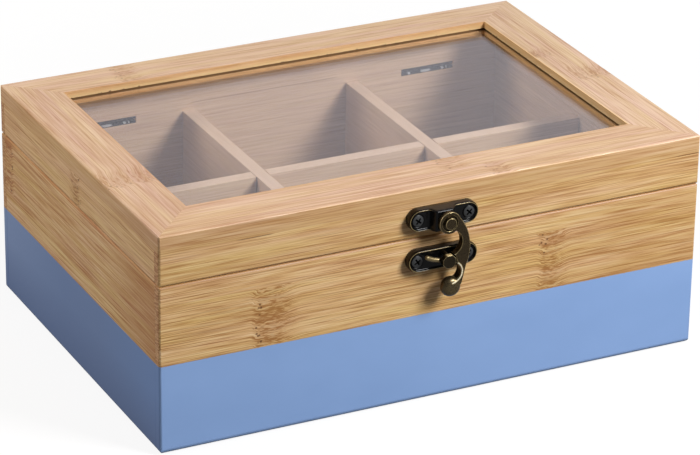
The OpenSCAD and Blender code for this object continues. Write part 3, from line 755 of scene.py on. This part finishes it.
def wornMetal(name, look):
    material, tree, shader = newMaterial(name)[:3]
    point, axes = objectPlace(tree)[:2]
    wear = useGroup(tree, wearGroup, {"Point": point, "Stands Out": attribute(tree, "standsOut"),
        "Start": look["start"], "Full": look["full"], "Patchiness": look["patchiness"]})
    polish, tarnish = wear["Mask"], wear["Tarnish"]
    body = mixColour(ramp(tarnish, *metalForm["tarnish"]), look["dark"], look["body"])
    for x, z, inner, reach, fromX, fromZ, depth, strength in look.get("polished", []):
        # painted highlight: a round place seen from the front, which is cut off to the left and below, is made
        # bright where highlights fall on the hook's tail, finger and ball and on the catch's top
        fromCentre = vectorCalc("DISTANCE", point, combine(x, axes[1], z))
        before, after = metalForm["highlightEdge"]
        near = times(ramp(fromCentre, reach - before, reach + after, strength, 0.0),
            ramp(fromCentre, inner - metalForm["highlightStart"], inner))
        for limit, axis in ((fromX, 0), (fromZ, 2)):
            near = times(near, ramp(axes[axis], limit, limit + metalForm["highlightCut"]))
        polish = maximum(polish, times(near, calc("LESS_THAN", axes[1], depth)))
    if "glints" in look:
        # painted highlights: bright spots on the leaves' ends, for the lit screws and middle knuckle seen between the
        # leaves
        glints = look["glints"]
        fromMiddle = minus(axes[0], times(calc("SIGN", axes[0]), glints["hingeX"]))
        level = calc("DIVIDE", minus(axes[2], glints["z"]), glints["height"])
        spots = 0.0
        for at, reach in glints["spots"]:
            across = calc("DIVIDE", minus(fromMiddle, at), reach)
            apart = calc("ADD", times(across, across), times(level, level))
            spots = maximum(spots, ramp(apart, *glints["edge"], 1.0, 0.0))
        spots = times(spots, calc("LESS_THAN", axes[1], glints["before"]))
        body = mixColour(spots, body, glints["colour"])
    # worn edges show the worn metal, and the painted highlights take the same colour
    colour = mixColour(polish, body, look["worn"])
    # painted highlight: the brightest part is lifted to a near-white colour
    if "bright" in look:
        colour = mixColour(ramp(polish, *metalForm["bright"]), colour, look["bright"])
    shine = ramp(polish, 0.0, 1.0, *look["metallic"])
    rough = calc("MULTIPLY_ADD", wear["Mask"], metalForm["polishRough"],
        ramp(tarnish, *metalForm["roughFrom"], *look["roughness"]))
    if "skirt" in look:
        skirt = times(attribute(tree, "skirt"), minus(1.0, polish))
        colour = mixColour(skirt, colour, look["skirt"])
    if "recess" in look:
        # painted shade: the rings round the screws and the drivers' crosses are made near-black, and a dark metal
        # colour mirrors nothing
        recess = attribute(tree, "recess")
        colour = mixColour(recess, colour, look["recess"])
        shine = maximum(shine, recess)
        rough = maximum(rough, times(recess, metalForm["recessRough"]))
    finishShader(shader, {"Base Color": colour, "Metallic": shine, "Roughness": rough}, tarnish, look["relief"],
        metalForm["reliefDepth"])
    return material


blackLook = {"dark": rgb(14, 14, 15), "body": rgb(24, 24, 24), "worn": rgb(204, 178, 120), "skirt": rgb(28, 21, 12),
        "recess": rgb(4, 4, 4), "metallic": (0.6, 0.7), "roughness": (0.2, 0.26), "relief": 0.01,
        "start": 0.5, "full": 1.0, "patchiness": 0.3}
screwLook = {"dark": rgb(54, 55, 56), "body": rgb(65, 66, 67), "worn": rgb(80, 80, 80), "recess": rgb(3, 3, 3),
        "metallic": (0.3, 0.3), "roughness": (0.4, 0.5), "relief": 0.1,
        "start": 0.4, "full": 1.0, "patchiness": 0.3}
# A painted highlight: x and z of its centre, inner and outer radius, where x and z begin, y, strength
bronzeLook = {"dark": rgb(58, 49, 36), "body": rgb(82, 70, 50), "worn": rgb(220, 197, 142),
        "bright": rgb(255, 246, 218), "metallic": (0.85, 0.4), "roughness": (0.24, 0.36), "relief": 0.1,
        "start": 0.35, "full": 1.1, "patchiness": 0.25,
        "polished": [(2.3, 56.4, 4.2, 4.85, 2.0, 40, -87.3, 1.0), (-6.4, 61.4, 0, 4.3, -20, 40, -82.6, 0.3),
        (2.75, 49.9, 0, 4.1, -20, 40, -80.0, 0.08)]}
catchLook = dict(bronzeLook, dark=rgb(40, 34, 25), body=rgb(62, 53, 39),
        polished=[(1.0, 61.4, 0, 9.0, -20, 63.6, -87.2, 0.85)])
hingeX = 72.5
# painted shade: the plated steel is made near-black, for the shade that the leaves sit in within their narrow notch
steelLook = {"dark": rgb(24, 25, 28), "body": rgb(34, 35, 38), "worn": rgb(90, 90, 90), "recess": rgb(10, 10, 10),
        "metallic": (0.4, 0.6), "roughness": (0.4, 0.5), "relief": 0.1,
        "start": 0.4, "full": 0.9, "patchiness": 0.2,
        "glints": {"hingeX": hingeX, "z": 67.3, "height": 0.55, "before": 71.0, "edge": (0.5, 1.1),
        "colour": rgb(176, 180, 182), "spots": [(-8.6, 0.7), (-0.8, 2.6), (7.1, 0.7), (9.0, 0.3)]}}
blackMetal = wornMetal("blackenedSteel", blackLook)
screwMetal = wornMetal("blackScrewSteel", screwLook)
bronzeMetal = wornMetal("antiqueBronze", bronzeLook)
catchMetal = wornMetal("antiqueBronzeCatch", catchLook)
steelMetal = wornMetal("platedSteel", steelLook)

for side in ("left", "right"):
    for part, title, body in (("base_leaf", "BaseLeaf", "base"), ("lid_leaf", "LidLeaf", "lid"), ("pin", "Pin",
            "base")):
        easedBoard(f"hinge_{side}_{part}", f"{side}Hinge{title}", steelMetal, body, easing=0.12)
print("hinges done")

pressedPlate("lidClaspPlate", dict(plateLook, bridge=(-6.7, -4.3, 1.7, 5.1)), lidPlateZ, "lid", "clasp_lid_plate")
pressedPlate("baseClaspPlate", plateLook, basePlateZ, "base", "clasp_base_plate")
castPiece("clasp_hook", "claspHook", bronzeMetal, "hook", voxel=0.14, rounds=16)
castPiece("clasp_rivet", "claspRivet", bronzeMetal, "lid", voxel=0.12, rounds=5)
castPiece("clasp_catch", "claspCatch", catchMetal, "base", voxel=0.12, rounds=5)
print("clasp done")

# Sizes are in millimetres, because the cuts are clean at that scale, and each screw is scaled as it is placed
screwForm = {"headSides": 40, "headRings": 6, "shankSides": 24, "overlap": 0.05, "turns": (25, 55),
             "deeper": 0.06}   # the second bar of the cross goes deeper, so that no two faces coincide


def buildScrewTree():
    tree = bpy.data.node_groups.new("crossHeadScrews", "GeometryNodeTree")
    given, result = addSockets(tree, {"Places": "Geometry", "Head Radius": 2.3, "Foot Radius": 2.3,
        "Head Height": 0.5, "Dome": 0.3, "Shank Radius": 1.1, "Shank Length": 8.0, "Cross Width": 0.6,
        "Cross Length": 2.8, "Cross Depth": 0.5, "Lean": (0, 0, 0), "Seed": 1, "Material": "Material"},
        [("Geometry", "Geometry")])

    def lift(geometry, height, turn=0.0):
        return addNode(tree, "GeometryNodeTransform", {"Geometry": geometry, "Translation": combine(z=height),
            "Rotation": (0, 0, turn)}).outputs[0]

    # the head: a short cylinder whose top is domed and whose foot may be narrower
    head = addNode(tree, "GeometryNodeMeshCylinder", {"Vertices": screwForm["headSides"], "Side Segments": 1,
        "Fill Segments": screwForm["headRings"], "Radius": given["Head Radius"], "Depth": given["Head Height"]},
        fill_type="TRIANGLE_FAN").outputs["Mesh"]
    axes = separate(tree.nodes.new("GeometryNodeInputPosition").outputs[0])
    radius = vectorCalc("LENGTH", combine(axes[0], axes[1]))
    share = calc("DIVIDE", radius, given["Head Radius"])
    rise = times(minus(1.0, calc("POWER", share, 2.0)), given["Dome"])
    onTop = calc("GREATER_THAN", axes[2], 0.0)
    taper = calc("DIVIDE", given["Foot Radius"], given["Head Radius"])
    footScale = calc("ADD", onTop, times(minus(1.0, onTop), taper))
    raised = calc("MULTIPLY_ADD", rise, onTop, axes[2])
    shaped = combine(times(axes[0], footScale), times(axes[1], footScale), raised)
    head = addNode(tree, "GeometryNodeSetPosition", {"Geometry": head, "Position": shaped}).outputs[0]
    head = lift(head, times(given["Head Height"], 0.5))
    top = calc("ADD", given["Head Height"], given["Dome"])
    for turn, deeper in ((0.0, 0.0), (math.pi / 2, screwForm["deeper"])):
        bar = addNode(tree, "GeometryNodeMeshCube", {"Size": combine(given["Cross Length"], given["Cross Width"],
            times(given["Cross Depth"], 2.0 + deeper))})
        cut = addNode(tree, "GeometryNodeMeshBoolean", operation="DIFFERENCE")
        tree.links.new(head, cut.inputs["Mesh 1"])
        tree.links.new(lift(bar.outputs["Mesh"], top, turn), cut.inputs["Mesh 2"])
        head = cut.outputs["Mesh"]
    shank = addNode(tree, "GeometryNodeMeshCylinder", {"Vertices": screwForm["shankSides"],
        "Radius": given["Shank Radius"], "Depth": given["Shank Length"]})
    sunk = calc("ADD", times(given["Shank Length"], -0.5), screwForm["overlap"])
    whole = addNode(tree, "GeometryNodeJoinGeometry")
    tree.links.new(head, whole.inputs[0])
    tree.links.new(lift(shank.outputs["Mesh"], sunk), whole.inputs[0])
    # one at each place, each turned by its own angle
    placed = addNode(tree, "GeometryNodeInstanceOnPoints", {"Points": given["Places"], "Instance": whole.outputs[0],
        "Rotation": given["Lean"], "Scale": (mm, mm, mm)})
    spin = addNode(tree, "FunctionNodeRandomValue", {"Seed": given["Seed"]}, data_type="FLOAT")
    spin.inputs[2].default_value, spin.inputs[3].default_value = map(math.radians, screwForm["turns"])
    turned = addNode(tree, "GeometryNodeRotateInstances", {"Instances": placed.outputs[0],
        "Rotation": combine(z=spin.outputs[1]), "Local Space": True})
    real = addNode(tree, "GeometryNodeRealizeInstances", {"Geometry": turned.outputs[0]})
    coated = addNode(tree, "GeometryNodeSetMaterial", {"Geometry": real.outputs[0], "Material": given["Material"]})
    feed(result[0], coated.outputs[0])
    return tree


screwTree = buildScrewTree()
# painted shade: the faces round the cross within these reaches are painted dark
crossReach = {"below": 0.3, "above": 0.1, "beside": 0.1}   # how far round the cross its dark faces lie


def screwRow(name, look, places, lean, material, body, node, seed):
    data = bpy.data.meshes.new(name + "Places")
    data.from_pydata([[value * mm for value in place] for place in places], [], [])
    piece = addObject(name, data)
    modifier = piece.modifiers.new("screws", "NODES")
    modifier.node_group = screwTree
    values = dict(look, **{"Lean": lean, "Seed": seed, "Material": material})
    for item in screwTree.interface.items_tree:
        if item.in_out == "INPUT" and item.name in values:
            modifier[item.identifier] = values[item.name]
    done = plainMesh(piece, name)
    # marks the faces that lie in the driver's cross, to be painted in shade
    turn = Euler(lean).to_matrix().inverted()
    centres = [Vector(place) * mm for place in places]
    recess = done.attributes.new("recess", "FLOAT", "FACE")
    for polygon in done.polygons:
        polygon.use_smooth = False
        spot = turn @ (polygon.center - min(centres, key=lambda centre: (polygon.center - centre).length)) / mm
        fromAxis = math.hypot(spot.x, spot.y)
        surface = look["Head Height"] + look["Dome"] * (1 - (fromAxis / look["Head Radius"]) ** 2)
        sunk = surface - look["Cross Depth"] - crossReach["below"] < spot.z < surface - crossReach["above"]
        inCross = fromAxis < look["Cross Length"] / 2 + crossReach["beside"]
        recess.data[polygon.index].value = float(sunk and inCross)
    placePiece(piece, body, node)


claspScrew = {"Head Radius": 2.25, "Foot Radius": 2.25, "Head Height": 0.2, "Dome": 0.4, "Shank Radius": 1.1,
        "Shank Length": 8.6, "Cross Width": 0.7, "Cross Length": 2.9, "Cross Depth": 0.45}
leafScrew = {"Head Radius": 1.8, "Foot Radius": 0.95, "Head Height": 0.85, "Dome": 0.1, "Shank Radius": 0.9,
        "Shank Length": 8.8, "Cross Width": 0.5, "Cross Length": 2.2, "Cross Depth": 0.4}
toFront, upwards, downwards = (math.pi / 2, 0, 0), (0, 0, 0), (math.pi, 0, 0)
leafScrewX, leafScrewY, baseLeafZ, lidLeafZ = 8, 75, 66.55, 69.45
for body, level, seed in (("lid", lidPlateZ, 3), ("base", basePlateZ, 8)):
    places = [(claspX + side * screwSpacing / 2, dishFace, level) for side in (-1, 1)]
    screwRow(body + "ClaspScrews", claspScrew, places, toFront, screwMetal, body,
        f"clasp_{body}_screws", seed)
for body, level, lean, seed in (("base", baseLeafZ, upwards, 5), ("lid", lidLeafZ, downwards, 6)):
    places = [(side * hingeX + dx, leafScrewY, level) for side in (-1, 1) for dx in (-leafScrewX, leafScrewX)]
    screwRow(body + "LeafScrews", leafScrew, places, lean, steelMetal, body,
        body + "_leaf_screws", seed)
print("screws done")

# Metres and watts; glow and gloss say how white the floor and the room look, not how much light they give
studio = {
    "floorSize": 6.0, "floorLevel": -0.0002, "floorColour": (0.14, 0.14, 0.14, 1.0), "floorGloss": 0.2,
    "floorGlow": (0.87, 1.04), "glowFrom": (0.25, 0.9), "underReach": 0.0006, "underLight": 0.5,
    "worldAmbient": 0.14, "worldTint": (1.0, 0.95, 0.92, 1.0), "mirrorTint": (0.93, 0.94, 1.02, 1.0),
    "worldGloss": (0.38, 1.0), "glossFrom": (0.3, 0.5), "worldFront": 0.25, "frontFrom": (-0.3, 0.5),
    "aim": (0, 0, 0.05),
    "key": {"power": 12.0, "size": 0.35, "distance": 1.0, "way": (0.45, -0.65, 0.61), "tint": (1.0, 1.0, 1.0)},
    "fill": {"power": 2.4, "size": 0.22, "distance": 0.7, "way": (-0.8, 0.25, 0.55), "tint": (1.0, 0.93, 0.89)},
}
white = (1.0, 1.0, 1.0, 1.0)


def whiteFor(tree, gloss):
    # 1 for what the camera sees, also through glass, and less for reflections
    path = lightPath(tree)
    seen = maximum(path["Is Camera Ray"], path["Is Transmission Ray"])
    return maximum(seen, times(path["Is Glossy Ray"], gloss))


def buildRoom():
    world = bpy.data.worlds.new("whiteStudio")
    scene.world = world
    world.use_nodes = True
    tree = world.node_tree
    tree.nodes.clear()
    # reflections find the room bright behind the box and to the right, and dark in front
    way = separate(tree.nodes.new("ShaderNodeTexCoord").outputs["Generated"])
    seen = whiteFor(tree, times(ramp(way[0], *studio["glossFrom"], *studio["worldGloss"]),
        ramp(way[1], *studio["frontFrom"], studio["worldFront"], 1.0)))
    colour = mixColour(seen, studio["worldTint"], white)
    mirrored = lightPath(tree)["Is Glossy Ray"]
    colour = mixColour(mirrored, colour, studio["mirrorTint"])
    strength = maximum(seen, studio["worldAmbient"])
    sky = addNode(tree, "ShaderNodeBackground", {"Color": colour, "Strength": strength})
    tree.links.new(sky.outputs[0], tree.nodes.new("ShaderNodeOutputWorld").inputs["Surface"])


def buildFloor():
    half, level = studio["floorSize"] / 2, studio["floorLevel"]
    data = bpy.data.meshes.new("studioFloor")
    corners = [(-half, -half, level), (half, -half, level), (half, half, level), (-half, half, level)]
    data.from_pydata(corners, [], [(0, 1, 2, 3)])
    floor = addObject("studioFloor", data)
    material, tree, shader, output = newMaterial("paleFloor")
    tree.nodes.remove(shader)
    matt = addNode(tree, "ShaderNodeBsdfDiffuse", {"Color": studio["floorColour"]})
    # the lamps reach less far than the white goes
    place = tree.nodes.new("ShaderNodeTexCoord").outputs["Object"]
    far = ramp(vectorCalc("LENGTH", place), *studio["glowFrom"], *studio["floorGlow"])
    strength = times(whiteFor(tree, studio["floorGloss"]), far)
    # the flat underside, a hair above the floor, gets light of its own, for views from below
    path = lightPath(tree)
    under = times(path["Is Diffuse Ray"], calc("LESS_THAN", path["Ray Length"], studio["underReach"]))
    strength = maximum(strength, times(under, studio["underLight"]))
    glow = addNode(tree, "ShaderNodeEmission", {"Color": white, "Strength": strength})
    both = addNode(tree, "ShaderNodeAddShader", {0: matt.outputs[0], 1: glow.outputs[0]})
    # from below the floor isn't there, so that the underside of the box shows
    below = tree.nodes.new("ShaderNodeNewGeometry").outputs["Backfacing"]
    nothing = tree.nodes.new("ShaderNodeBsdfTransparent").outputs[0]
    oneSided = addNode(tree, "ShaderNodeMixShader", {0: below, 1: both.outputs[0], 2: nothing})
    tree.links.new(oneSided.outputs[0], output.inputs["Surface"])
    data.materials.append(material)


def addSoftbox(name):
    look = studio[name]
    lamp = bpy.data.lights.new(name + "Softbox", "AREA")
    lamp.color = look["tint"]
    lamp.shape = "SQUARE"
    lamp.size = look["size"]
    lamp.energy = look["power"]
    light = addObject(name + "Softbox", lamp)
    aim = Vector(studio["aim"])
    light.location = Vector(look["way"]).normalized() * look["distance"] + aim
    light.rotation_euler = (aim - light.location).to_track_quat("-Z", "Y").to_euler()
    light.visible_camera = False


# Fitted to the straight edges of the box in the photograph; the place is in millimetres, the focus in pixels
cameraLook = {"place": (-586.6, -1188.0, 647.8), "focus": 3641.0, "width": 700, "sensor": 36.0,
        "right": (0.89849, -0.43879, 0.01331), "down": (-0.17241, -0.3806, -0.90853),
        "ahead": (0.40372, 0.81401, -0.41762), "clip": (0.05, 20.0)}


def buildCamera():
    data = bpy.data.cameras.new("photoCamera")
    data.sensor_fit = "HORIZONTAL"
    data.sensor_width = cameraLook["sensor"]
    data.lens = cameraLook["focus"] / cameraLook["width"] * cameraLook["sensor"]
    data.clip_start, data.clip_end = cameraLook["clip"]
    camera = addObject("photoCamera", data)
    right, down, ahead = [Vector(cameraLook[way]) for way in ("right", "down", "ahead")]
    turn = Matrix((right, -down, -ahead)).transposed().to_4x4()
    camera.matrix_world = Matrix.Translation(Vector(cameraLook["place"]) * mm) @ turn
    scene.camera = camera


buildRoom()
buildFloor()
addSoftbox("key")
addSoftbox("fill")
buildCamera()
print("studio and camera done")
